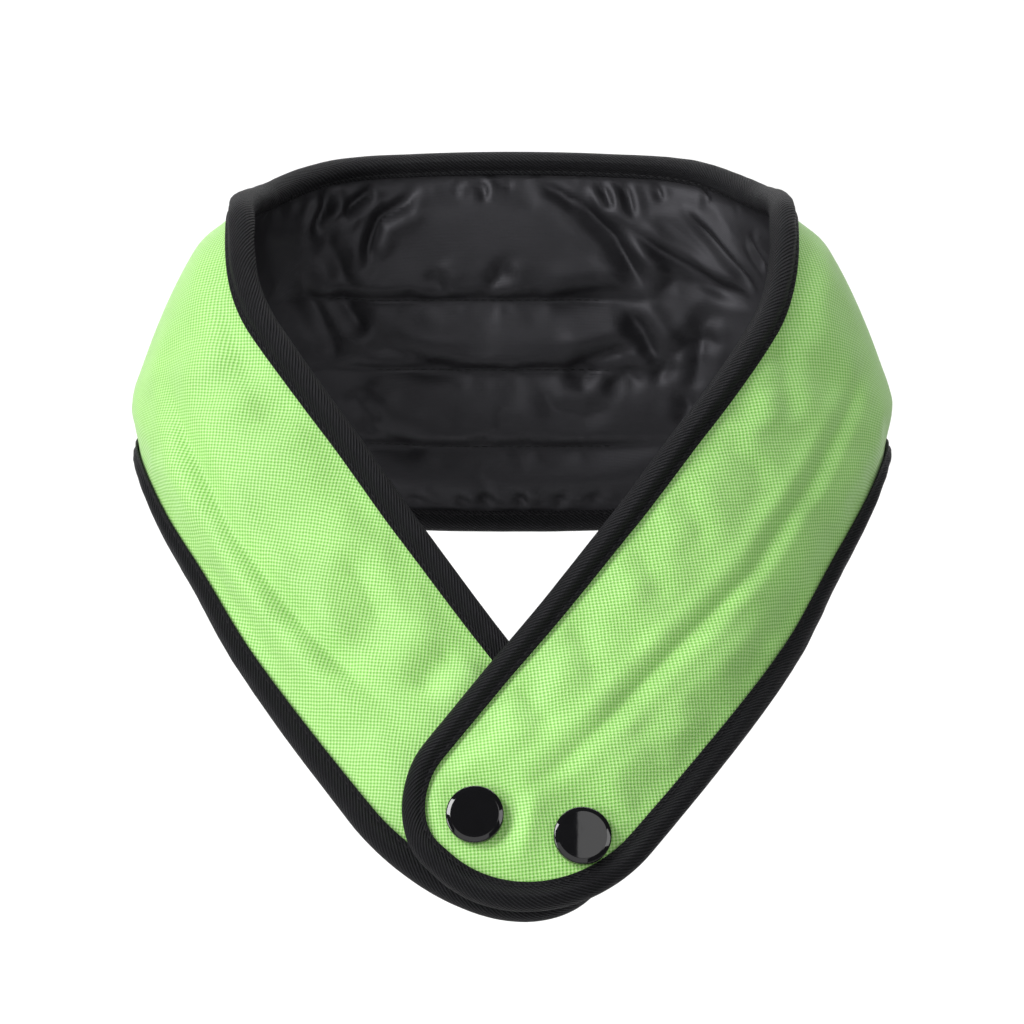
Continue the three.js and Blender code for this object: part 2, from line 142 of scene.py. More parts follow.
def neckNormal(angle, drop):
    across = neckPoint(angle, drop - nudge["drop"]) - neckPoint(angle, drop + nudge["drop"])
    along = neckPoint(angle + nudge["angle"], drop) - neckPoint(angle - nudge["angle"], drop)
    normal = np.cross(across, along)
    return normal / np.linalg.norm(normal, axis=-1, keepdims=True)


def ribPlace(along, across):
    upperAngle, upperDrop, lowerAngle, lowerDrop, _ = np.moveaxis(tableAt(ribs, (along + 1) / 2), -1, 0)
    return mix(lowerAngle, upperAngle, across), mix(lowerDrop, upperDrop, across)


def bandPlace(along, across):    # point of the band's middle and the direction out of it
    angle, drop = ribPlace(along, across)
    share = smooth((np.abs(angle) - neck["overlapBegins"]) / (neck["overlapWhole"] - neck["overlapBegins"]))
    normal = neckNormal(angle, drop)
    lift = np.sign(along) * share * neck["flapLift"]
    return neckPoint(angle, drop) + normal * lift[..., None], normal


def bandWidth(along):
    along = np.asarray(along, float)
    upper, _ = bandPlace(along, np.ones_like(along))
    lower, _ = bandPlace(along, np.zeros_like(along))
    return np.linalg.norm(upper - lower, axis=-1)


middle, _ = bandPlace(np.linspace(0, 1, 41), np.full(41, 0.5))
halfLength = np.linalg.norm(np.diff(middle, axis=0), axis=1).sum()


def flapEnd(side):
    return halfLength + (band["underReach"] if side < 0 else 0)


def cornerLength(side):
    return band["underCornerLength"] if side < 0 else band["overCornerLength"]


def straightEnd(side):
    return flapEnd(side) - cornerLength(side) - band["endStretch"]


def bandSurface(p, q):           # middle of the band at pattern places, with the lower edge drawn in
    along = p / halfLength
    point, normal = bandPlace(along, q / bandWidth(along))
    tuck = band["tuckDepth"] * tableAt(ribs, (along + 1) / 2)[..., 4]
    drawnIn = tuck * np.maximum(1 - q / band["tuckWidth"], 0) ** 2
    return point - normal * drawnIn[..., None], normal


def endOutline(side, share, inset):
    length, upperLength = cornerLength(side), band["upperCornerLength"]
    outlineWidth = bandWidth(side * (flapEnd(side) - length / 2) / halfLength)
    width = outlineWidth - band["upperCornerWidth"] - band["endFlat"]
    lowerTurn = np.minimum(share / band["lowerEnds"], 1) * np.pi / 2
    upperTurn = np.maximum((share - band["upperBegins"]) / (1 - band["upperBegins"]), 0) * np.pi / 2
    flat = np.clip((share - band["lowerEnds"]) / (band["upperBegins"] - band["lowerEnds"]), 0, 1)
    lower = np.stack([
        length * (1 - np.sin(lowerTurn)),
        width * (1 - np.cos(lowerTurn)) + flat * band["endFlat"],
        width * np.sin(lowerTurn),
        length * np.cos(lowerTurn),
    ])
    upper = np.stack([
        upperLength * (1 - np.cos(upperTurn)),
        width + band["endFlat"] + band["upperCornerWidth"] * np.sin(upperTurn),
        band["upperCornerWidth"] * np.cos(upperTurn),
        -upperLength * np.sin(upperTurn),
    ])
    u, q, du, dq = np.where(upperTurn > 0, upper, lower)
    size = np.hypot(du, dq)
    u, q = u + inset * du / size, q + inset * dq / size
    return u, q * bandWidth(side * (flapEnd(side) - u) / halfLength) / outlineWidth


def patternGrid(sideSteps, endSteps, shares, inset, closer=1):
    knots = np.array([-straightEnd(-1), -band["backReach"], band["backReach"], straightEnd(1)])
    spread = np.concatenate([[0], np.cumsum(np.diff(knots) * (1, closer, 1))])
    p = np.interp(np.linspace(0, spread[-1], sideSteps + 1), spread, knots)
    width = bandWidth(p / halfLength)[:, None]
    gridP = np.repeat(p[:, None], len(shares), 1)
    gridQ = mix(inset, width - inset, shares[None, :])
    turns = (np.arange(1, endSteps + 1) / endSteps)[:, None]
    for side in (-1, 1):
        u, q = endOutline(side, shares, inset)
        row = 0 if side < 0 else -1
        endP = mix(gridP[row], side * (flapEnd(side) - u), turns)
        endQ = mix(gridQ[row], q, turns)
        if side < 0:
            gridP, gridQ = np.concatenate([endP[::-1], gridP]), np.concatenate([endQ[::-1], gridQ])
        else:
            gridP, gridQ = np.concatenate([gridP, endP]), np.concatenate([gridQ, endQ])
    return gridP, gridQ


def edgeDistance(p, q):
    away = np.minimum(q, bandWidth(p / halfLength) - q)
    for side in (-1, 1):
        near = np.sign(p) * side * np.abs(p) > straightEnd(side) - 0.01
        u, w = endOutline(side, np.linspace(0, 1, 90), 0)
        line = np.stack([u, w], -1)
        place = np.stack([flapEnd(side) - np.abs(p[near]), q[near]], -1)[:, None, :]
        start, step = line[:-1], np.diff(line, axis=0)
        t = np.clip(((place - start) * step).sum(-1) / (step * step).sum(-1), 0, 1)[..., None]
        away[near] = np.minimum(away[near], np.linalg.norm(place - start - t * step, axis=-1).min(1))
    return away


snapAxes = []
for along, across in band["snapPlaces"]:
    angle, drop = ribPlace(np.array(along), np.array(across))
    snapAxes.append((neckPoint(angle, drop), neckNormal(angle, drop)))


def snapDimple(point, along):
    share = np.zeros(along.shape)
    for centre, normal in snapAxes:
        away = point - centre
        away = away - (away @ normal)[..., None] * normal
        radius = np.linalg.norm(away, axis=-1)
        share = np.maximum(share, 1 - smooth((radius - band["capRadius"]) / band["dimpleWidth"]))
    return np.where(np.abs(along) < band["frontBegins"], 0, share)


def softNoise(p, q, size, seed):
    table = np.random.default_rng(seed).uniform(-1, 1, (64, 64))
    x, y = p / size + 900, q / size + 900
    i, j = np.floor(x).astype(int), np.floor(y).astype(int)
    s, t = smooth(x - i), smooth(y - j)
    lower = mix(table[i % 64, j % 64], table[(i + 1) % 64, j % 64], s)
    upper = mix(table[i % 64, (j + 1) % 64], table[(i + 1) % 64, (j + 1) % 64], s)
    return mix(lower, upper, t)


def doubled(grid, axis):         # Catmull-Rom points between the nodes
    grid = np.moveaxis(grid, axis, 0)
    wide = np.concatenate([2 * grid[:1] - grid[1:2], grid, 2 * grid[-1:] - grid[-2:-1]])
    out = np.empty((2 * len(grid) - 1,) + grid.shape[1:])
    out[::2] = grid
    out[1::2] = (9 * (wide[1:-2] + wide[2:-1]) - wide[:-3] - wide[3:]) / 16
    return np.moveaxis(out, 0, axis)


foldShape = {                    # distances are in widths of the fold
    "taper": 0.3,                # share of the length over which each end runs out
    "shoulder": 0.4,             # height of the soft shoulders, where they stand and how wide
    "shoulderAway": 2.0,
    "shoulderWidth": 1.1,
    "lean": 0.3,                 # how much one side stands over the other
    "leanSlope": 1.5,
    "leanWidth": 3.2,
}


# Height of folds over the padding: each runs through its points (millimetres along and across the
# band's pattern), a valley with soft shoulders whose one side stands a little higher
def foldHeight(p, q, folds, crisp, strength):
    height = np.zeros(p.shape)
    place = np.stack([p, q], -1) * 1000
    for points, width, depth in folds:
        line = np.array(points, float)
        start, step = line[:-1], np.diff(line, axis=0)
        lengths = np.linalg.norm(step, axis=1)
        offset = place[..., None, :] - start
        t = np.clip((offset * step).sum(-1) / lengths ** 2, 0, 1)
        away = np.linalg.norm(offset - t[..., None] * step, axis=-1)
        turn = np.sign(offset[..., 1] * step[:, 0] - offset[..., 0] * step[:, 1])
        nearest = away.argmin(-1)[..., None]
        turn = np.take_along_axis(turn, nearest, -1)[..., 0]
        away = np.take_along_axis(away, nearest, -1)[..., 0] / width
        run = np.take_along_axis((np.cumsum(lengths) - lengths) + t * lengths, nearest, -1)[..., 0]
        run = run / lengths.sum()
        taper = smooth(run / foldShape["taper"]) * smooth((1 - run) / foldShape["taper"])
        shoulder = np.exp(-((away - foldShape["shoulderAway"]) / foldShape["shoulderWidth"]) ** 2)
        lean = turn * np.tanh(away * foldShape["leanSlope"]) * np.exp(-(away / foldShape["leanWidth"]) ** 2)
        valley = np.exp(-away ** crisp) - foldShape["shoulder"] * shoulder - foldShape["lean"] * lean
        height -= depth * 0.001 * strength * taper * valley
    return height


def makePiece(name, points, faces, material, uv=None):
    mesh = bpy.data.meshes.new(name)
    corners = faces.tolist() if isinstance(faces, np.ndarray) else faces
    mesh.from_pydata(points.reshape(-1, 3).tolist(), [], corners)
    mesh.polygons.foreach_set("use_smooth", [True] * len(mesh.polygons))
    if uv is not None:
        corner = np.empty(len(mesh.loops), np.int32)
        mesh.loops.foreach_get("vertex_index", corner)
        layer = mesh.uv_layers.new(name="pattern")
        layer.data.foreach_set("uv", uv.reshape(-1, 2)[corner].astype(np.float32).ravel())
    mesh.materials.append(material)
    piece = bpy.data.objects.new(name, mesh)
    scene.collection.objects.link(piece)
    return piece


def gridFaces(lines, rows, flip=False, start=0):
    at = start + np.arange(lines * rows).reshape(lines, rows)
    quads = np.stack([at[:-1, :-1], at[:-1, 1:], at[1:, 1:], at[1:, :-1]], -1).reshape(-1, 4)
    return quads[:, ::-1] if flip else quads


def gridRim(lines, rows):
    at = np.arange(lines * rows).reshape(lines, rows)
    return np.concatenate([at[:, 0], at[-1, 1:], at[-2::-1, -1], at[0, -2:0:-1]])


def closedLayer(name, face, back, uv, material, flip):
    lines, rows = face.shape[:2]
    count = lines * rows
    rim = gridRim(lines, rows)
    after = np.roll(rim, -1)
    wall = np.stack([after, rim, rim + count, after + count], -1)
    faces = np.concatenate([
        gridFaces(lines, rows, flip),
        gridFaces(lines, rows, not flip, count),
        wall if flip else wall[:, ::-1],
    ])
    points = np.concatenate([face.reshape(-1, 3), back.reshape(-1, 3)])
    return makePiece(name, points, faces, material, np.concatenate([uv.reshape(-1, 2)] * 2))


def feed(tree, node, key, value):    # links a socket, or sets the input's own value
    if isinstance(value, bpy.types.NodeSocket):
        tree.links.new(value, node.inputs[key])
    else:
        node.inputs[key].default_value = value


def addNode(tree, kind, inputs, settings):
    node = tree.nodes.new(kind)
    for key, value in settings.items():
        setattr(node, key, value)
    for key, value in inputs.items():
        feed(tree, node, key, value)
    return node


def newMaterial(name, surface):      # surface holds the shader's values that are the same all over
    material = bpy.data.materials.new(name)
    material.use_nodes = True
    tree = material.node_tree
    shader = tree.nodes["Principled BSDF"]

    def add(kind, inputs=None, output=0, **settings):
        return addNode(tree, "ShaderNode" + kind, inputs or {}, settings).outputs[output]

    def into(name, value):
        feed(tree, shader, name, value)

    for name, value in surface.items():
        into(name, value)
    return material, add, into


def maths(add, operation, a, b=0.0):
    return add("Math", {0: a, 1: b}, operation=operation)


def waveOf(add, value, pitch):   # 1 at each multiple of the pitch and -1 between
    return maths(add, "COSINE", maths(add, "MULTIPLY", value, 2 * math.pi / pitch))


def noiseOf(add, place, scale, detail, roughness=0.5, output=0):
    settings = {"Vector": place, "Scale": scale, "Detail": detail, "Roughness": roughness}
    return add("TexNoise", settings, output=output)


def ranged(add, value, before, after=(0.0, 1.0)):     # a value's range brought to another one
    limits = {"From Min": before[0], "From Max": before[1], "To Min": after[0], "To Max": after[1]}
    return add("MapRange", {"Value": value, **limits})


def rampOf(add, value, low, high):   # 0 before the low value, 1 past the high one, smooth between
    limits = {"From Min": low, "From Max": high}
    return add("MapRange", {"Value": value, **limits}, interpolation_type="SMOOTHSTEP")


def blend(add, share, first, second):
    return add("Mix", {0: share, 6: first, 7: second}, output=2, data_type="RGBA")


def bumpOf(add, height, strength, distance):
    return add("Bump", {"Strength": strength, "Distance": distance, "Height": height})


meshLook = {
    "pitch": 0.088,              # centimetres between neighbouring dimples
    "turn": 45,                  # degrees between their rows and the band's length
    "wander": 0.08,              # centimetres that the rows stray from straight lines
    # the light colour is a painted highlight: the crowns between the dimples are coloured lighter
    "light": (0.54, 0.785, 0.355, 1),
    "main": (0.325, 0.655, 0.155, 1),
    # the dimple colour is painted shade: the dimples are coloured darker and more saturated
    "dimple": (0.15, 0.46, 0.052, 1),
    "fuzzTone": (0.9, 1.08),
    "patchTone": (0.95, 1.04),
    "bump": (0.75, 0.00018),     # strength and depth
    "surface": {
        "Roughness": 0.56,
        "Sheen Weight": 0.3,
        "Sheen Roughness": 0.5,
        "Sheen Tint": (0.95, 1.0, 0.9, 1),
        "Specular IOR Level": 0.55,
    },
}


def meshMaterial():
    material, add, into = newMaterial("shellMesh", meshLook["surface"])
    place = add("UVMap", uv_map="pattern")
    wander = noiseOf(add, place, 1.1, 2.0, output=1)
    moved = add("VectorMath", {0: wander, 1: (0.5, 0.5, 0.5)}, operation="SUBTRACT")
    moved = add("VectorMath", {0: moved, "Scale": meshLook["wander"]}, operation="SCALE")
    moved = add("VectorMath", {0: place, 1: moved}, operation="ADD")
    turned = {0: moved, "Angle": math.radians(meshLook["turn"])}
    split = add("SeparateXYZ", {0: add("VectorRotate", turned, rotation_type="Z_AXIS")})
    rows = waveOf(add, split, meshLook["pitch"])
    columns = waveOf(add, split.node.outputs[1], meshLook["pitch"])
    lattice = maths(add, "ADD", rows, columns)
    dimple = rampOf(add, lattice, 0.35, 1.5)
    litCrown = rampOf(add, lattice, -0.3, -1.8)
    fuzz = noiseOf(add, place, 34.0, 3.0, 0.65)
    patch = noiseOf(add, place, 0.55, 3.0)
    # painted highlight: the crowns are given the lighter colour
    base = blend(add, litCrown, meshLook["main"], meshLook["light"])
    # painted shade: the dimples are given the darker colour
    base = blend(add, dimple, base, meshLook["dimple"])
    shade = ranged(add, fuzz, (0.25, 0.75), meshLook["fuzzTone"])
    shade = maths(add, "MULTIPLY", shade, ranged(add, patch, (0.3, 0.7), meshLook["patchTone"]))
    into("Base Color", add("VectorMath", {0: base, "Scale": shade}, operation="SCALE"))
    height = maths(add, "SUBTRACT", maths(add, "MULTIPLY", litCrown, 0.3), dimple)
    height = maths(add, "ADD", height, maths(add, "MULTIPLY", fuzz, 0.3))
    into("Normal", bumpOf(add, height, *meshLook["bump"]))
    return material


liningLook = {
    "thread": 0.042,             # centimetres between neighbouring threads
    "colour": (0.0022, 0.0021, 0.0027, 1),
    "light": (0.0042, 0.004, 0.005, 1),
    "roughness": (0.52, 0.62),
    "bump": (0.35, 0.00004),
    "surface": {
        "Specular IOR Level": 0.55,
        "Specular Tint": (0.93, 0.92, 1.0, 1),
        "Sheen Weight": 0.02,
        "Sheen Roughness": 0.3,
    },
}


def liningMaterial():
    material, add, into = newMaterial("liningNylon", liningLook["surface"])
    place = add("UVMap", uv_map="pattern")
    split = add("SeparateXYZ", {0: place})
    along, across = split, split.node.outputs[1]
    weft = waveOf(add, across, liningLook["thread"])
    warp = waveOf(add, along, liningLook["thread"])
    stretch = add("VectorMath", {0: place, 1: (2.0, 30.0, 1.0)}, operation="MULTIPLY")
    slub = noiseOf(add, stretch, 1.0, 3.0)
    weave = maths(add, "ADD", maths(add, "MULTIPLY", weft, 0.6), maths(add, "MULTIPLY", warp, 0.25))
    height = maths(add, "ADD", weave, maths(add, "MULTIPLY", slub, 2.0))
    into("Normal", bumpOf(add, height, *liningLook["bump"]))
    tone = ranged(add, slub, (0.35, 0.65))
    into("Base Color", blend(add, tone, liningLook["colour"], liningLook["light"]))
    into("Roughness", ranged(add, slub, (0.0, 1.0), liningLook["roughness"]))
    return material


tapeLook = {
    "rib": 0.135,                # centimetres between neighbouring twill lines
    "slant": 1.4,
    "pick": 0.04,                # centimetres between the threads across
    "colour": (0.0005, 0.0005, 0.0006, 1),
    # the light colour is a painted highlight: the tape is coloured lighter where its twill ribs and fuzz
    # stand high
    "light": (0.022, 0.022, 0.025, 1),
    "bump": (0.9, 0.00016),
    "surface": {
        "Roughness": 0.58,
        "Specular IOR Level": 0.2,
        "Specular Tint": (0.94, 0.94, 1.0, 1),
    },
}


def tapeMaterial():
    material, add, into = newMaterial("bindingTwill", tapeLook["surface"])
    place = add("UVMap", uv_map="pattern")
    split = add("SeparateXYZ", {0: place})
    along, across = split, split.node.outputs[1]
    slant = maths(add, "ADD", along, maths(add, "MULTIPLY", across, tapeLook["slant"]))
    rib = waveOf(add, slant, tapeLook["rib"])
    pick = waveOf(add, across, tapeLook["pick"])
    fuzz = noiseOf(add, place, 40.0, 4.0, 0.7)
    height = maths(add, "ADD", rib, maths(add, "MULTIPLY", pick, 0.3))
    height = maths(add, "ADD", height, maths(add, "MULTIPLY", fuzz, 1.8))
    into("Normal", bumpOf(add, height, *tapeLook["bump"]))
    # painted highlight: the lighter colour goes where the ribs and fuzz stand highest
    tone = rampOf(add, height, 0.7, 2.6)
    into("Base Color", blend(add, tone, tapeLook["colour"], tapeLook["light"]))
    return material


threadLook = {
    "colour": (0.002, 0.002, 0.0025, 1),
    "light": (0.012, 0.012, 0.014, 1),
    "bump": (0.5, 0.00006),
    "surface": {"Roughness": 0.6, "Specular IOR Level": 0.3},
}


def threadMaterial():
    material, add, into = newMaterial("blackThread", threadLook["surface"])
    twist = noiseOf(add, add("TexCoord", output=3), 2500.0, 2.0)
    into("Base Color", blend(add, twist, threadLook["colour"], threadLook["light"]))
    into("Normal", bumpOf(add, twist, *threadLook["bump"]))
    return material


snapLook = {
    "colour": (0.003, 0.003, 0.0035, 1),
    "light": (0.005, 0.005, 0.006, 1),
    "roughness": (0.02, 0.045),
    "scratched": 0.05,           # roughness that the finest scratches add
    "bump": (0.02, 0.0001),
}


def snapMaterial():
    material, add, into = newMaterial("snapGloss", {})
    place = add("TexCoord", output=3)
    haze = noiseOf(add, place, 260.0, 4.0)
    stretch = add("VectorMath", {0: place, 1: (3000.0, 120.0, 400.0)}, operation="MULTIPLY")
    scratch = ranged(add, noiseOf(add, stretch, 1.0, 2.0), (0.62, 0.75))
    rough = ranged(add, haze, (0.3, 0.7), snapLook["roughness"])
    into("Roughness", maths(add, "ADD", rough, maths(add, "MULTIPLY", scratch, snapLook["scratched"])))
    into("Base Color", blend(add, haze, snapLook["colour"], snapLook["light"]))
    into("Normal", bumpOf(add, haze, *snapLook["bump"]))
    return material


shellMesh = meshMaterial()
liningNylon = liningMaterial()
bindingTwill = tapeMaterial()
blackThread = threadMaterial()
snapGloss = snapMaterial()
print("materials made")

# Steps of each cloth grid; the finished face has twice as many
grid = {"sideSteps": 200, "endSteps": 20, "rows": 38, "closer": 1}
liningGrid = {"sideSteps": 170, "endSteps": 12, "rows": 50, "closer": 2.4}

quilting = {
    "seams": [                   # share across the band, where each begins and ends along it
        (0.227, -0.09, 0.04),
        (0.431, -0.07, 0.04),
        (0.616, -0.12, 0.035),
    ],
    "fade": 0.125,
    "stitchedPast": 0.3,         # share of the fade that the stitches run on into
    "left": 0.0011,              # half thickness left under the stitches
    "overWidth": 0.0045,         # the padding sags on to each seam from above
    "underWidth": 0.0130,        # and slopes away slowly below it
    "sharpness": 1.6,
    "sag": 0.30,                 # share of the top channel's thickness that has sunk down it
    "sagReach": 0.036,
    "sagEnds": 0.5,              # share of the half length where the sag has faded out
    "sagFade": 0.2,
}


def seamShare(along, across, width):
    share = np.zeros(along.shape)
    for level, left, right in quilting["seams"]:
        away = (across - level) * width
        away = np.minimum(np.where(away > 0, away / quilting["overWidth"], -away / quilting["underWidth"]), 1)
        fade = smooth((along - left) / quilting["fade"] + 1) * smooth((right - along) / quilting["fade"] + 1)
        share = np.maximum(share, (1 - away) ** quilting["sharpness"] * fade)
    return share


def paddingHalf(p, q, point):
    along = p / halfLength
    thinned = (np.abs(along) - band["thinningBegins"]) / (band["thinningEnds"] - band["thinningBegins"])
    full = mix(band["backPadding"], band["armPadding"], smooth(thinned)) / 2
    distance = edgeDistance(p, q)
    swell = np.sin(smooth((distance - fieldInset) / band["swellWidth"]) * np.pi / 2)
    half = mix(band["edgeThickness"] / 2, full, swell)
    return mix(half, np.minimum(half, band["grip"] / 2), snapDimple(point, along)), distance


fabric = {"quality": 6, "mass": 0.15, "stretch": 12, "shear": 5, "damping": 2}


# A sheet held at its edge and along its seams, cut larger than its place and blown up by the padding
def swellCloth(name, start, held, flip, settings):
    lines, rows = start.shape[:2]
    sheet = makePiece(name, start, gridFaces(lines, rows, flip), blackThread)
    group = sheet.vertex_groups.new(name="held")
    for index, weight in enumerate(held.ravel()):
        if weight > 0:
            group.add([index], float(weight), "REPLACE")
    cloth = sheet.modifiers.new("cloth", "CLOTH")
    cloth.settings.vertex_group_mass = "held"
    cloth.settings.quality = fabric["quality"]
    cloth.settings.mass = fabric["mass"]
    cloth.settings.tension_stiffness = fabric["stretch"]
    cloth.settings.compression_stiffness = fabric["stretch"]
    cloth.settings.shear_stiffness = fabric["shear"]
    cloth.settings.bending_stiffness = settings["bending"]
    cloth.settings.air_damping = fabric["damping"]
    cloth.settings.shrink_min = -settings["fullness"]
    cloth.settings.use_pressure = True
    cloth.settings.uniform_pressure_force = settings["pressure"]
    cloth.settings.effector_weights.gravity = 0
    cloth.collision_settings.use_collision = False
    cloth.point_cache.frame_start = 1
    cloth.point_cache.frame_end = settings["frames"]
    for count in range(1, settings["frames"] + 1):
        scene.frame_set(count)
    done = sheet.evaluated_get(bpy.context.evaluated_depsgraph_get()).data
    coordinates = np.empty(lines * rows * 3, np.float32)
    done.vertices.foreach_get("co", coordinates)
    bpy.data.objects.remove(sheet)
    scene.frame_set(1)
    return coordinates.reshape(lines, rows, 3).astype(float)


def softened(moves, reach):      # the slow part of a grid of moves, over a number of nodes
    weights = np.exp(-np.linspace(-2, 2, 2 * reach + 1) ** 2)
    weights /= weights.sum()
    for axis in (0, 1):
        wide = np.pad(moves, [(reach, reach) if k == axis else (0, 0) for k in range(3)], mode="edge")
        count = moves.shape[axis]
        moves = sum(w * np.take(wide, np.arange(k, k + count), axis) for k, w in enumerate(weights))
    return moves


uneven = {"size": 0.009, "height": 0.0003}    # of the padding under each sheet before it moves


# How far each point of a layer moves from its place, out is the side that the layer faces
def clothMoves(name, place, height, out, crowded, held, flip, settings):
    base, normal = bandSurface(*place)
    lumps = softNoise(*place, uneven["size"], settings["seed"]) * uneven["height"] * (1 - held)
    start = base + out * normal * (height * settings["start"] + lumps)[..., None]
    moved = swellCloth(name, start, held, flip, settings)
    moved -= start + out * normal * (height * (1 - settings["start"]))[..., None]
    moved -= softened(moved, settings["reach"]) * settings["drawnBack"]
    moved = softened(moved, settings["calmed"])
    size = np.linalg.norm(moved, axis=-1, keepdims=True)
    print(f"{name} moved by {size.mean() * 1000:.2f} mm, at most {size.max() * 1000:.2f}")
    moved = moved * (settings["cap"] * np.tanh(size / settings["cap"]) / np.maximum(size, 1e-9))
    rise = (moved * normal).sum(-1) * out
    moved = moved - out * normal * (np.maximum(rise, 0) * crowded)[..., None]
    return doubled(doubled(moved, 0), 1)


shellLayer = {
    "start": 0.85,               # share of its height that the sheet starts from
    "pressure": 1.5,
    "fullness": 0.01,            # extra cloth
    "bending": 8,
    "frames": 20,
    "cap": 0.002,                # the furthest that a point moves
    "reach": 6,                  # grid steps over which the slow part of the moves is found
    "drawnBack": 1.0,            # share of the slow part that is taken back
    "calmed": 2,                 # grid steps over which the rest is smoothed
    "seed": 3,
    "crisp": 1.5,                # of the folds, with their strength
    "strength": 1.15,
    "thinnest": 0.0009,
}
shellFolds = [                   # points along and across, width, depth, all in millimetres
    # long crease down the middle of each flap
    ([(-150, 38), (-163, 33), (-186, 26), (-215, 21), (-242, 22), (-266, 24), (-292, 27)], 3.0, 1.7),
    ([(145, 38), (171, 30), (205, 27), (234, 27), (260, 29), (289, 30), (308, 32), (322, 36), (336, 40)],
     2.4, 1.1),
    # puckers from the upper binding of the over flap
    ([(272, 55), (278, 46), (285, 36)], 3.2, 0.9),
    ([(294, 53), (298, 46), (300, 38)], 3.0, 0.9),
    ([(246, 54), (251, 46), (255, 38)], 3.2, 0.8),
    ([(227, 55), (231, 47), (236, 39)], 3.2, 0.8),
    ([(208, 54), (210, 45), (211, 35)], 3.2, 0.8),
    ([(190, 56), (188, 49), (192, 40)], 3.4, 0.6),
    ([(172, 60), (181, 51), (193, 40)], 3.4, 0.8),
    # soft dents
    ([(244, 26), (245, 17), (248, 9)], 5.0, 0.8),
    ([(286, 25), (287, 18), (291, 12)], 3.6, 0.5),
    ([(-236, 43), (-248, 41), (-263, 38)], 5.0, 1.3),
    ([(-282, 33), (-279, 42), (-278, 51)], 4.2, 1.3),
    ([(-212, 9), (-235, 7), (-258, 9)], 5.0, 1.0),
    ([(-155, 60), (-177, 51), (-205, 45)], 5.0, 0.9),
    ([(215, 15), (241, 12), (268, 12)], 6.0, 0.5),
]
liningLayer = {
    "start": 0.75,
    "pressure": 2.5,
    "fullness": 0.012,
    "bending": 10,
    "frames": 20,
    "cap": 0.0017,
    "reach": 6,
    "drawnBack": 0.7,
    "calmed": 1,
    "seed": 8,
    "crisp": 1.1,
    "strength": 1.7,
    "thinnest": 0.0007,
}
liningFolds = [
    # round the quilting seams
    ([(10, 71), (20, 74), (30, 75), (38, 72)], 3.0, 1.3),
    ([(-41, 63), (-35, 57), (-25, 53), (-10, 51)], 3.6, 1.6),
    ([(14, 51), (24, 54), (31, 56), (37, 57)], 3.2, 2.0),
    ([(-44, 35), (-36, 30), (-25, 26)], 3.6, 1.2),
    # from the top binding down to the +X side
    ([(18, 105), (25, 99), (33, 91), (37, 81), (41, 72)], 3.4, 2.6),
    ([(31, 107), (33, 103), (34, 98)], 1.8, 1.6),
    ([(10, 107), (17, 104), (23, 99)], 2.0, 1.2),
    ([(33, 98), (47, 86), (57, 80), (67, 73), (82, 66)], 2.4, 1.5),
    ([(61, 99), (69, 89), (76, 79), (83, 66)], 2.0, 1.2),
    ([(92, 82), (92, 76), (93, 69)], 1.6, 1.0),
    ([(41, 70), (50, 77), (60, 74), (74, 67)], 2.6, 1.0),
    # short curls under the top binding
    ([(-13, 108), (-10, 105), (-10, 101)], 1.6, 1.2),
    ([(-32, 107), (-36, 100), (-45, 95), (-46, 87), (-45, 82), (-41, 79)], 2.4, 1.8),
    ([(-51, 106), (-52, 102), (-58, 98), (-61, 95)], 2.0, 1.5),
    ([(-72, 104), (-68, 98), (-70, 92), (-64, 90)], 2.2, 1.6),
    ([(-81, 101), (-87, 94), (-98, 88)], 2.0, 1.2),
    ([(-21, 108), (-19, 107), (-21, 104)], 1.5, 0.6),
    ([(-2, 108), (0, 105)], 1.5, 0.6),
    ([(40, 107), (41, 101), (41, 95)], 1.8, 1.0),
    ([(53, 106), (54, 100)], 1.6, 0.8),
    ([(73, 103), (74, 97)], 1.6, 0.8),
    ([(90, 96), (92, 89)], 1.6, 0.8),
    # over the upper seam
    ([(-3, 85), (-3, 80), (-8, 74)], 2.6, 1.0),
    ([(-26, 81), (-22, 76), (-19, 73)], 2.2, 0.8),
    # arcs at the -X side
    ([(-54, 76), (-48, 67), (-41, 59)], 3.6, 1.8),
    ([(-71, 78), (-59, 68), (-52, 58), (-49, 48)], 3.4, 1.4),
    ([(-68, 92), (-58, 84), (-49, 74)], 3.4, 1.3),
    ([(-46, 44), (-42, 38), (-36, 34)], 3.0, 1.2),
    # knot of folds at the +X side
    ([(33, 69), (38, 62), (41, 54), (40, 50)], 2.8, 1.7),
    ([(25, 43), (33, 49), (38, 44)], 2.8, 1.0),
    ([(50, 57), (44, 50), (40, 44)], 2.6, 1.1),
    ([(46, 53), (51, 58), (58, 58), (64, 55)], 2.4, 0.8),
    ([(24, 52), (21, 48), (20, 43)], 2.8, 0.8),
    ([(7, 48), (12, 39), (21, 37), (31, 39)], 2.8, 0.9),
    ([(66, 67), (57, 62), (54, 52), (51, 41)], 2.8, 1.0),
    ([(48, 44), (50, 38), (47, 31)], 2.4, 1.0),
    # gathers over the bottom binding
    ([(-29, 12), (-26, 8), (-28, 6)], 1.8, 1.2),
    ([(-16, 12), (-13, 7)], 1.8, 1.2),
    ([(-9, 13), (-6, 7)], 1.8, 1.2),
    ([(2, 13), (4, 7)], 1.8, 1.2),
    ([(14, 12), (15, 7)], 1.8, 1.2),
    ([(24, 12), (25, 7)], 1.8, 1.0),
]

halfGap = band["clearance"] / 2
stitchLift = {"tape": 0.00005, "seam": 0.0001}       # of the stitches' middle over the cloth
hold = {
    "edge": 0.0012,              # strip beside the binding that is sewn down with it
    "snap": 0.98,                # share of a snap's dimple past which the padding is pressed together
    "overlapBegins": 0.7,        # share of the half length where the other flap lies on this one
    "overlapFade": 0.08,
    "foldFade": 0.004,           # from the binding in to the full height of the folds
}


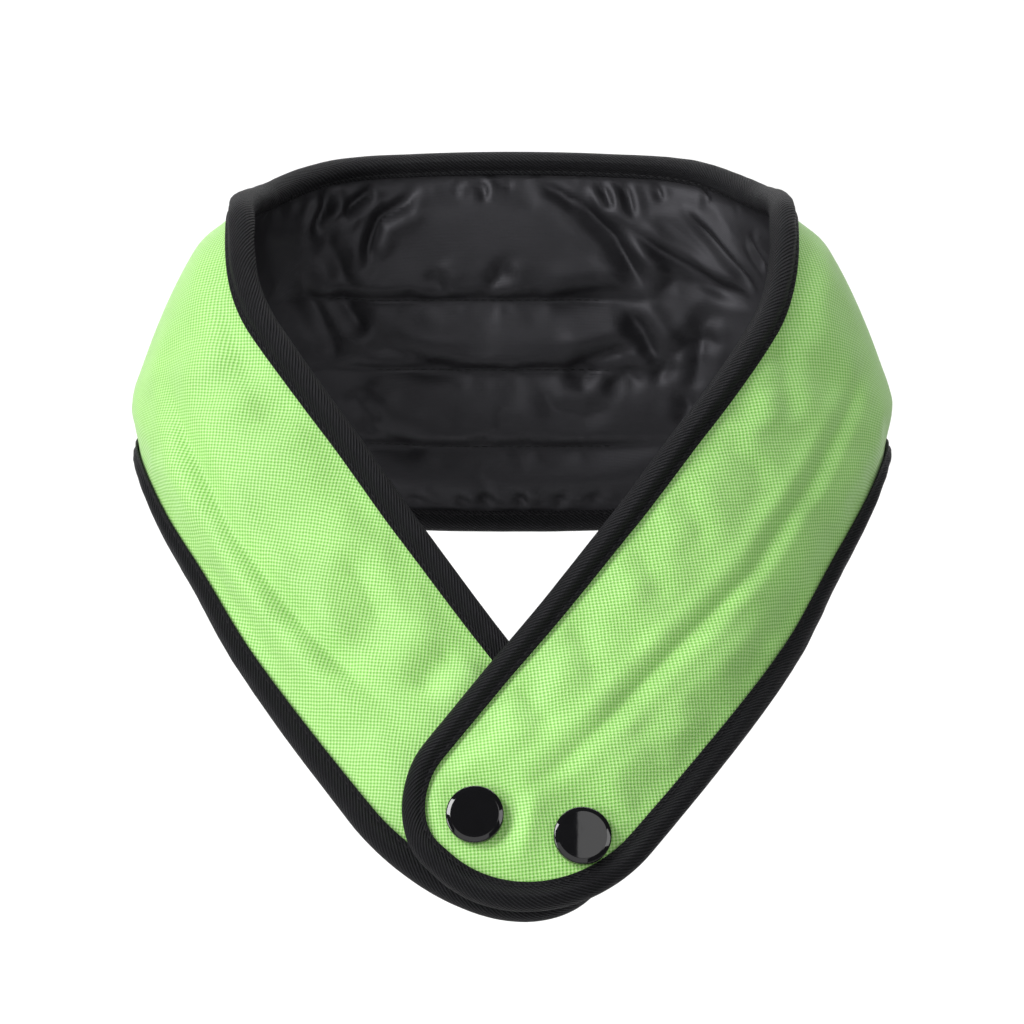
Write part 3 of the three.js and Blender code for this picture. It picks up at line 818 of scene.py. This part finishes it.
def layerPlaces(steps, factor):  # pattern places of a layer, and what is worked out from them
    shares = np.linspace(0, 1, factor * steps["rows"] + 1)
    sideSteps, endSteps = factor * steps["sideSteps"], factor * steps["endSteps"]
    p, q = patternGrid(sideSteps, endSteps, shares, padInset, steps["closer"])
    base, normal = bandSurface(p, q)
    half, distance = paddingHalf(p, q, base)
    along = p / halfLength
    return {
        "p": p, "q": q, "along": along, "width": bandWidth(along), "distance": distance,
        "base": base, "normal": normal, "half": half, "uv": np.stack([p, q], -1) * 100,
    }


def heldPlaces(places):
    atEdge = places["distance"] < fieldInset + hold["edge"]
    atSnap = snapDimple(places["base"], places["along"]) > hold["snap"]
    return np.maximum(atEdge, atSnap).astype(float)


def overlapped(places, side):
    return smooth((places["along"] * side - hold["overlapBegins"]) / hold["overlapFade"])


def inField(places):
    return smooth((places["distance"] - fieldInset) / hold["foldFade"])


def withFolds(places, height, folds, settings):
    added = foldHeight(places["p"], places["q"], folds, settings["crisp"], settings["strength"])
    return np.maximum(height + added * inField(places), settings["thinnest"])[..., None]


def makeShell():
    cloth, fine = layerPlaces(grid, 1), layerPlaces(grid, 2)
    moves = clothMoves("shellCloth", (cloth["p"], cloth["q"]), cloth["half"], 1, overlapped(cloth, -1),
                       heldPlaces(cloth), False, shellLayer)
    face = fine["base"] + fine["normal"] * withFolds(fine, fine["half"], shellFolds, shellLayer) + moves
    back = fine["base"] + fine["normal"] * halfGap
    return closedLayer("outerShell", face, back, fine["uv"], shellMesh, False)


def sagged(places):              # the back's top channel is thinner towards the top binding
    share = 1 - smooth((places["width"] - places["q"]) / quilting["sagReach"])
    share = share * smooth((quilting["sagEnds"] - np.abs(places["along"])) / quilting["sagFade"])
    return places["half"] * (1 - quilting["sag"] * share)


def quilted(places):
    half = sagged(places)
    seams = seamShare(places["along"], places["q"] / places["width"], places["width"])
    return mix(half, np.minimum(half, quilting["left"]), seams)


def makeLining():
    cloth, fine = layerPlaces(liningGrid, 1), layerPlaces(liningGrid, 2)
    held = heldPlaces(cloth)
    for level, left, right in quilting["seams"]:
        row = np.abs(cloth["q"] / cloth["width"] - level).argmin(1)
        line = np.nonzero((cloth["along"][:, 0] > left) & (cloth["along"][:, 0] < right))[0]
        held[line, row[line]] = 1
    moves = clothMoves("liningCloth", (cloth["p"], cloth["q"]), quilted(cloth), -1, overlapped(cloth, 1),
                       held, True, liningLayer)
    face = fine["base"] - fine["normal"] * withFolds(fine, quilted(fine), liningFolds, liningLayer) + moves
    back = fine["base"] - fine["normal"] * halfGap
    return closedLayer("innerLining", face, back, fine["uv"], liningNylon, True), fine, face


outerShell = makeShell()
innerLining, liningPlaces, liningFace = makeLining()
print("padded layers made")

tape = {
    "section": [                 # inset from the edge, height over the plain tape and share of the wave
        (0.0066, -0.00045, 0.35),    # the flat strip that is sewn down
        (0.0062, -0.00040, 0.35),
        (0.0058, -0.00052, 0.35),
        (0.0053, -0.00035, 0.35),
        (0.0047, 0.0001, 1.0),       # the roll beside it
        (0.0040, 0.00055, 1.0),
        (0.0032, 0.00075, 1.0),
        (0.0024, 0.0006, 1.0),
    ],
    "stitchInset": 0.0058,
    "noseTurns": (72, 52, 32, 12),   # degrees round the rounded fold
    "nose": 0.0020,
    "noseRise": 0.0002,
    "middle": 0.0035,            # inset of the line that the tape's length is measured on
    "wave": 0.00022,
    "waveSizes": (0.004, 0.011),
    "secondWave": 0.7,           # height of the longer waves beside the shorter ones
}


def rimPlaces(inset):            # pattern places round the whole edge, at an inset from it
    shares = np.linspace(0, 1, 2 * grid["rows"] + 1)
    p, q = patternGrid(2 * grid["sideSteps"], 2 * grid["endSteps"], shares, inset)
    rim = gridRim(*p.shape)
    return p.ravel()[rim], q.ravel()[rim]


def makeBinding():
    inner = band["edgeThickness"] / 2 + band["tapeClearance"]
    outer = inner + band["bindingWall"]
    width = band["bindingWidth"]
    section = [(width, inner, 0.0), (width + 0.0001, inner + 0.45 * band["bindingWall"], 0.0)]
    section += [(inset, outer + rise, wave) for inset, rise, wave in tape["section"]]
    for degrees in tape["noseTurns"]:
        turn = math.radians(degrees)
        height = (outer + tape["noseRise"]) * math.sin(turn)
        section.append((tape["nose"] * (1 - math.cos(turn)), height, 1.0))
    section += [(inset, -offset, wave) for inset, offset, wave in reversed(section)]
    section += [(band["bindingWall"], -inner, 0.0), (band["bindingWall"], inner, 0.0)]
    columns, points, sewn = [], [], []
    base, _ = bandSurface(*rimPlaces(tape["middle"]))
    lengths = np.linalg.norm(np.diff(np.concatenate([base, base[:1]]), axis=0), axis=1)
    run = np.concatenate([[0], np.cumsum(lengths)])
    length = run[-1]
    run = run[:-1]
    turnPlace = run / length * 2 * np.pi     # the waves are read on a circle, so that they close
    circleX, circleY = np.cos(turnPlace) * length / (2 * np.pi), np.sin(turnPlace) * length / (2 * np.pi)
    patternLength = round(length * 100 / tapeLook["rib"]) * tapeLook["rib"]      # whole twill lines
    shortWave, longWave = tape["waveSizes"]
    arc = 0.0
    previous = None
    for inset, offset, wave in section:
        p, q = rimPlaces(inset)
        base, normal = bandSurface(p, q)
        side = 1 if offset > 0 else -1
        ripple = softNoise(circleX + side, circleY, shortWave, 21)
        ripple = ripple + tape["secondWave"] * softNoise(circleX - side, circleY, longWave, 22)
        swell = wave * tape["wave"] * ripple
        points.append(base + normal * (offset + side * swell)[:, None])
        if inset == tape["stitchInset"]:
            sewn.append((points[-1] + side * normal * stitchLift["tape"], side * normal, True))
        if previous is not None:
            arc += math.hypot(inset - previous[0], offset - previous[1])
        previous = (inset, offset)
        columns.append(np.stack([run / length * patternLength, np.full(len(run), arc * 100)], -1))
    points, uv = np.stack(points, 1), np.stack(columns, 1)
    stations, sides = points.shape[:2]
    at = np.arange(stations * sides).reshape(stations, sides)
    there, after = np.roll(at, -1, 0), np.roll(at, -1, 1)
    faces = np.stack([at, there, np.roll(there, -1, 1), after], -1).reshape(-1, 4)
    piece = makePiece("edgeBinding", points, faces, bindingTwill, uv)
    # the last faces run on past the start of the pattern instead of back over it
    layer = piece.data.uv_layers["pattern"].data
    for polygon in piece.data.polygons[(stations - 1) * sides:]:
        for loop in polygon.loop_indices:
            if layer[loop].uv[0] < 1:
                layer[loop].uv[0] += patternLength
    return piece, sewn


edgeBinding, tapePaths = makeBinding()
print("binding made")

stitching = {"Spacing": 0.0026, "Stitch Length": 0.0020, "Thread Width": 0.00034, "Thread Height": 0.0003}


def stitchTree():
    tree = bpy.data.node_groups.new("stitches", "GeometryNodeTree")
    interface = tree.interface
    interface.new_socket("Geometry", in_out="INPUT", socket_type="NodeSocketGeometry")
    for name, size in stitching.items():
        socket = interface.new_socket(name, in_out="INPUT", socket_type="NodeSocketFloat")
        socket.default_value = size
    interface.new_socket("Thread", in_out="INPUT", socket_type="NodeSocketMaterial")
    interface.new_socket("Geometry", in_out="OUTPUT", socket_type="NodeSocketGeometry")

    def add(kind, inputs=None, output=0, **settings):
        node = addNode(tree, kind, inputs or {}, settings)
        return node.outputs[output] if node.outputs else node

    given = add("NodeGroupInput").node.outputs
    curve = add("GeometryNodeMeshToCurve", {"Mesh": given["Geometry"]})
    points = add("GeometryNodeCurveToPoints", {"Curve": curve, "Length": given["Spacing"]}, mode="LENGTH")
    tangent = points.node.outputs["Tangent"]
    outward = add("GeometryNodeInputNamedAttribute", {"Name": "outward"}, data_type="FLOAT_VECTOR")
    turn = add("FunctionNodeAlignRotationToVector", {"Vector": tangent}, axis="X")
    turned = {"Rotation": turn, "Vector": outward}
    turn = add("FunctionNodeAlignRotationToVector", turned, axis="Z", pivot_axis="X")
    stitch = add("GeometryNodeMeshUVSphere", {"Segments": 8, "Rings": 5, "Radius": 0.5})
    size = {0: given["Stitch Length"], 1: given["Thread Width"], 2: given["Thread Height"]}
    scale = add("ShaderNodeCombineXYZ", size)
    placed = {"Points": points, "Instance": stitch, "Rotation": turn, "Scale": scale}
    placed = add("GeometryNodeInstanceOnPoints", placed)
    real = add("GeometryNodeRealizeInstances", {"Geometry": placed})
    finish = add("GeometryNodeSetMaterial", {"Geometry": real, "Material": given["Thread"]})
    add("NodeGroupOutput", {"Geometry": finish})
    return tree


stitches = stitchTree()


def sewPaths(name, paths):       # paths are (points, directions outwards, closed)
    points, edges, outward = [], [], []
    for line, normal, closed in paths:
        start = len(points)
        points += line.tolist()
        outward += normal.tolist()
        edges += [(start + i, start + i + 1) for i in range(len(line) - 1)]
        if closed:
            edges.append((start + len(line) - 1, start))
    mesh = bpy.data.meshes.new(name)
    mesh.from_pydata(points, edges, [])
    attribute = mesh.attributes.new("outward", "FLOAT_VECTOR", "POINT")
    attribute.data.foreach_set("vector", np.array(outward, np.float32).ravel())
    path = bpy.data.objects.new(name + "Path", mesh)
    scene.collection.objects.link(path)
    modifier = path.modifiers.new("stitches", "NODES")
    modifier.node_group = stitches
    given = {**stitching, "Thread": blackThread}
    for item in stitches.interface.items_tree:
        if item.item_type == "SOCKET" and item.in_out == "INPUT" and item.name in given:
            modifier[item.identifier] = given[item.name]
    done = path.evaluated_get(bpy.context.evaluated_depsgraph_get())
    result = bpy.data.meshes.new_from_object(done)
    result.name = name
    piece = bpy.data.objects.new(name, result)
    scene.collection.objects.link(piece)
    bpy.data.objects.remove(path)
    result.polygons.foreach_set("use_smooth", [True] * len(result.polygons))
    return piece


def seamPaths():
    paths = []
    past = quilting["stitchedPast"] * quilting["fade"]
    for level, left, right in quilting["seams"]:
        along = np.linspace(left - past, right + past, 160)
        p = along * halfLength
        q = level * bandWidth(along)
        line = np.abs(liningPlaces["p"][:, 0][:, None] - p[None, :]).argmin(0)
        row = np.abs(liningPlaces["q"][line] - q[:, None]).argmin(1)
        normal = liningPlaces["normal"][line, row]
        points = liningFace[line, row] - normal * stitchLift["seam"]
        keep = np.concatenate([[True], np.linalg.norm(np.diff(points, axis=0), axis=1) > 0.0002])
        paths.append((points[keep], -normal[keep], False))
    return paths


tapeStitches = sewPaths("tapeStitches", tapePaths)
quiltStitches = sewPaths("quiltStitches", seamPaths())
print("stitches made:", len(tapeStitches.data.polygons), len(quiltStitches.data.polygons), "faces")

snap = {                         # radii and heights
    "capThickness": 0.0027,
    "shoulder": 0.0012,          # sloping ring round the cap's flat middle
    "shoulderDrop": 0.00036,
    "post": 0.0022,
    "disc": 0.0046,
    "backDisc": 0.0012,
    "knob": 0.0020,
    "knobHeight": 0.0010,
    "capRounding": 0.00018,
    "studRounding": 0.0003,
    "segments": 72,
}
discSeat = band["grip"] / 2 + band["clearance"]
discThickness = neck["flapLift"] - discSeat - band["clearance"] / 2


def rounded(profile, radius, steps=5):      # profile of (distance from the axis, height) with round corners
    out = [profile[0]]
    for before, corner, after in zip(profile, profile[1:], profile[2:]):
        here = np.array(corner)
        arms = []
        for other in (before, after):
            arm = np.array(other) - here
            size = np.linalg.norm(arm)
            arms.append(here + arm / size * min(radius, 0.45 * size))
        for t in np.linspace(0, 1, steps):
            out.append(tuple((1 - t) ** 2 * arms[0] + 2 * t * (1 - t) * here + t ** 2 * arms[1]))
    return out + [profile[-1]]


def lathePiece(name, profile, axis, lift, material):
    centre, normal = axis
    side = np.cross(normal, (0, 0, 1.0))
    side /= np.linalg.norm(side)
    other = np.cross(normal, side)
    segments = snap["segments"]
    turns = np.arange(segments) / segments * 2 * np.pi
    rings = profile[1:-1]
    seat = centre + normal * lift
    points = [seat + normal * profile[0][1]]
    for radius, height in rings:
        for turn in turns:
            points.append(seat + normal * height + radius * (side * math.cos(turn) + other * math.sin(turn)))
    points.append(seat + normal * profile[-1][1])
    faces = []
    last = len(points) - 1
    for step in range(segments):
        after = (step + 1) % segments
        faces.append((0, 1 + after, 1 + step))
        for ring in range(len(rings) - 1):
            low, high = 1 + ring * segments, 1 + (ring + 1) * segments
            faces.append((low + step, low + after, high + after, high + step))
        top = 1 + (len(rings) - 1) * segments
        faces.append((top + step, top + after, last))
    return makePiece(name, np.array(points), faces, material)


def capPiece(name, axis):
    bottom = -discSeat - discThickness
    knobHole = snap["knob"] + band["clearance"]
    holeTop = bottom + snap["knobHeight"] + band["clearance"]
    top = discSeat + snap["capThickness"]
    radius = band["capRadius"]
    profile = [
        (0, holeTop),
        (knobHole, holeTop),
        (knobHole, bottom),
        (snap["disc"], bottom),
        (snap["disc"], -discSeat),
        (snap["post"], -discSeat),
        (snap["post"], discSeat),
        (radius - 0.0003, discSeat),
        (radius, discSeat + 0.0005),
        (radius, top - snap["shoulderDrop"] - 0.0002),
        (radius - 0.0002, top - snap["shoulderDrop"]),
        (radius - snap["shoulder"], top),
        (0, top),
    ]
    return lathePiece(name, rounded(profile, snap["capRounding"]), axis, neck["flapLift"], snapGloss)


def studPiece(name, axis):
    top = discSeat + discThickness
    profile = [
        (0, -discSeat - snap["backDisc"]),
        (snap["disc"], -discSeat - snap["backDisc"]),
        (snap["disc"], -discSeat),
        (snap["post"], -discSeat),
        (snap["post"], discSeat),
        (snap["disc"], discSeat),
        (snap["disc"], top),
        (snap["knob"], top),
        (snap["knob"], top + snap["knobHeight"]),
        (0, top + snap["knobHeight"]),
    ]
    return lathePiece(name, rounded(profile, snap["studRounding"]), axis, -neck["flapLift"], snapGloss)


snapPieces = {}
for side, axis in zip(("left", "right"), snapAxes):
    snapPieces["snap_cap_" + side] = capPiece("snapCap" + side.title(), axis)
    snapPieces["snap_stud_" + side] = studPiece("snapStud" + side.title(), axis)
print("snaps made")

studio = {
    "floor": -0.6,
    "start": -3.0,
    "wall": 2.4,
    "wallTop": 4.0,
    "bend": 0.9,                 # radius from the floor up into the wall
    "halfWidth": 5.0,
    "near": (0.5, 0.5, 0.5, 1),  # paper under the wrap, and behind it
    "beyond": (0.92, 0.92, 0.92, 1),
    "change": (0.2, 1.4),        # where the one turns into the other
    "world": 0.08,
}


def makeStage():
    bend, bendStart = studio["bend"], studio["wall"] - studio["bend"]
    profile = [(studio["start"], studio["floor"]), (bendStart, studio["floor"])]
    for degrees in range(5, 91, 5):
        turn = math.radians(degrees)
        profile.append((bendStart + bend * math.sin(turn), studio["floor"] + bend * (1 - math.cos(turn))))
    profile.append((studio["wall"], studio["wallTop"]))
    points = np.array([[(x, y, z) for x in (-studio["halfWidth"], studio["halfWidth"])] for y, z in profile])
    material, add, into = newMaterial("palePaper", {"Roughness": 0.9})
    place = add("TexCoord", output=3)
    away = rampOf(add, add("SeparateXYZ", {0: place}, output=1), *studio["change"])
    tone = blend(add, away, studio["near"], studio["beyond"])
    shade = ranged(add, noiseOf(add, place, 60.0, 3.0), (0.0, 1.0), (0.97, 1.03))
    into("Base Color", add("VectorMath", {0: tone, "Scale": shade}, operation="SCALE"))
    floor = makePiece("studioFloor", points, gridFaces(len(profile), 2, True), material)


makeStage()


lights = {                       # place, aim, width and height, watts, turn about its own axis
    "keyLight": ((-1.5, -1.2, 1.4), (0, 0, 0), (0.9, 0.9), 38.5, 0),
    "sideLight": ((-1.9, -1.2, 0.2), (0, 0, 0), (0.8, 0.8), 22, 0),
    "frontLight": ((-0.35, -2.1, 0.1), (0, 0, 0), (2.0, 1.4), 9.8, 0),
    "rightLight": ((1.5, -1.5, 0.9), (0, 0, 0), (0.9, 0.9), 9, 0),
    # its edge shows in the cap on the right
    "snapLight": ((0.492, -1.209, 0.818), (0.0178, -0.1065, -0.085), (0.5, 0.5), 1.4, -0.24),
    "paperLight": ((0, 0.7, 2.6), (0, 2.3, 0.1), (3.6, 0.6), 78, 0),
}


def softBox(name, place, aim, size, power, roll):
    data = bpy.data.lights.new(name, "AREA")
    data.shape = "RECTANGLE"
    data.size, data.size_y = size
    data.energy = power
    light = bpy.data.objects.new(name, data)
    light.location = place
    light.rotation_euler = (Vector(aim) - Vector(place)).to_track_quat("-Z", "Y").to_euler()
    if roll:
        light.rotation_euler.rotate_axis("Z", roll)
    scene.collection.objects.link(light)


for name, settings in lights.items():
    softBox(name, *settings)
world = bpy.data.worlds.new("studioWorld")
world.use_nodes = True
background = world.node_tree.nodes["Background"].inputs
background["Color"].default_value = (1, 1, 1, 1)
background["Strength"].default_value = studio["world"]
scene.world = world

view = {"target": (0, -0.010, -0.014), "distance": 0.8, "elevation": 6.0, "lens": 100, "sensor": 36}
cameraData = bpy.data.cameras.new("camera")
cameraData.lens = view["lens"]
cameraData.sensor_width = view["sensor"]
cameraData.clip_start = 0.05
camera = bpy.data.objects.new("camera", cameraData)
rise = math.radians(view["elevation"])
camera.location = Vector(view["target"]) + view["distance"] * Vector((0, -math.cos(rise), math.sin(rise)))
camera.rotation_euler = (math.radians(90) - rise, 0, 0)
scene.collection.objects.link(camera)
scene.camera = camera
scene.view_settings.view_transform = "Standard"
print("stage, lights and camera made")

handed = [
    (outerShell, "shell_mesh", ["outer_shell"]),
    (innerLining, "lining", ["inner_lining"]),
    (edgeBinding, "binding", ["edge_binding"]),
    (tapeStitches, "binding", []),
    (quiltStitches, "lining", []),
]
handed += [(piece, "snap", [node]) for node, piece in snapPieces.items()]
for piece, slotName, nodes in handed:
    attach(piece, "root")
    if nodes:
        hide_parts(*nodes)

print("all pieces handed over")
